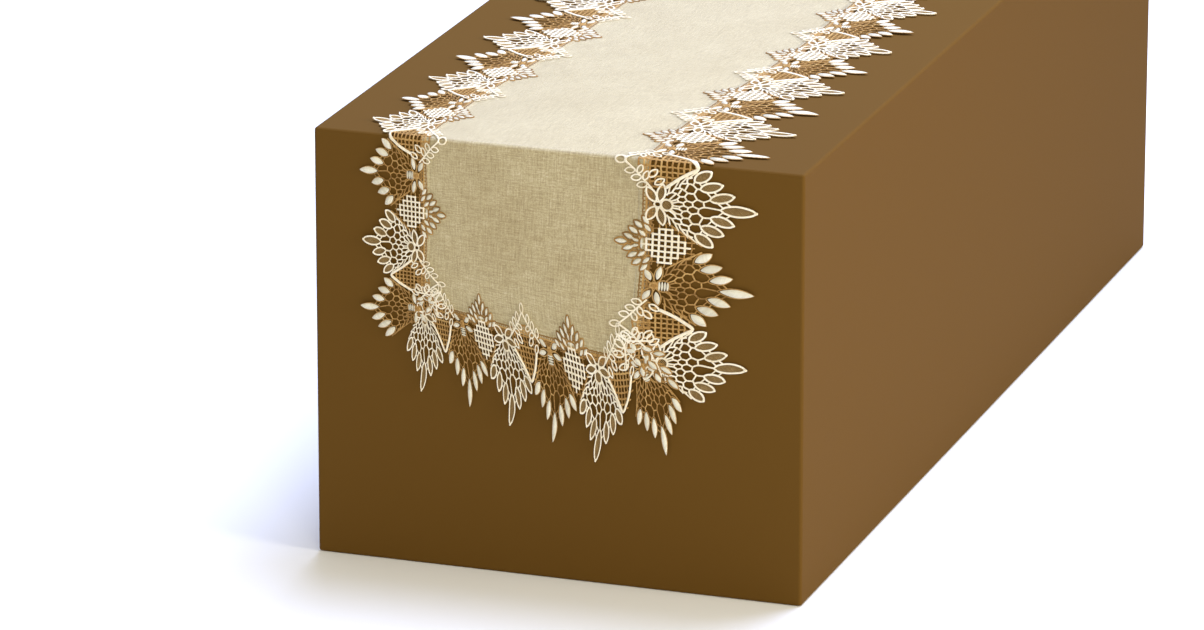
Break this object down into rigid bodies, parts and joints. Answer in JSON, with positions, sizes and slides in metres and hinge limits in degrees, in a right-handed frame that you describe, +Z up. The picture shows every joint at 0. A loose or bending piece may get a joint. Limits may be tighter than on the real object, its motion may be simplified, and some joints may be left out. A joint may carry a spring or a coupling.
{
  "type": "table runner",
  "caption": "Narrow linen table runner with a scalloped lace border of open fans, draped lengthwise over a table with a hanging drop at each end.",
  "frame": {"origin": "centre of the underside of the top span, where the runner lies on the table", "axes": "+Z up out of the table, X across the runner's width, Y along its length, with the front drop towards -Y"},
  "size_m": [0.406, 1.2546, 0.2938],
  "materials": {
    "linen": "plain woven, slubby, matte",
    "cream_thread": "cream embroidery cord, soft sheen",
    "tan_thread": "fine tan embroidery thread, soft sheen",
    "white_thread": "padded satin stitch, soft sheen"
  },
  "bodies": {
    "top": {"top_linen": "linen", "top_hem_right": "linen", "top_hem_left": "linen", "top_ground_right": "tan_thread", "top_ground_left": "tan_thread", "top_cream_fans_right": "cream_thread", "top_cream_fans_left": "cream_thread", "top_tan_fans_right": "tan_thread", "top_tan_fans_left": "tan_thread", "top_fan_pads_right": "white_thread", "top_fan_pads_left": "white_thread", "top_lattices_right": "cream_thread", "top_lattices_left": "cream_thread", "top_arches_right": "cream_thread", "top_arches_left": "cream_thread", "top_cream_sprays_right": "cream_thread", "top_cream_sprays_left": "cream_thread", "top_tan_sprays_right": "tan_thread", "top_tan_sprays_left": "tan_thread", "top_flowers_right": "white_thread", "top_flowers_left": "white_thread"},
    "front_drop": {"front_linen": "linen", "front_hem": "linen", "front_ground": "tan_thread", "front_cream_fans": "cream_thread", "front_tan_fans": "tan_thread", "front_fan_pads": "white_thread", "front_lattices": "cream_thread", "front_arches": "cream_thread", "front_cream_sprays": "cream_thread", "front_tan_sprays": "tan_thread", "front_flowers": "white_thread"},
    "rear_drop": {"rear_linen": "linen", "rear_hem": "linen", "rear_ground": "tan_thread", "rear_cream_fans": "cream_thread", "rear_tan_fans": "tan_thread", "rear_fan_pads": "white_thread", "rear_lattices": "cream_thread", "rear_arches": "cream_thread", "rear_cream_sprays": "cream_thread", "rear_tan_sprays": "tan_thread", "rear_flowers": "white_thread"}
  },
  "joints": [
    {"name": "front_fold", "type": "hinge", "parent": "top", "child": "front_drop", "pos_m": [0, -0.624, 0], "axis": [-1, 0, 0], "range_deg": [0, 90]},
    {"name": "rear_fold", "type": "hinge", "parent": "top", "child": "rear_drop", "pos_m": [0, 0.624, 0], "axis": [1, 0, 0], "range_deg": [0, 90]}
  ]
}
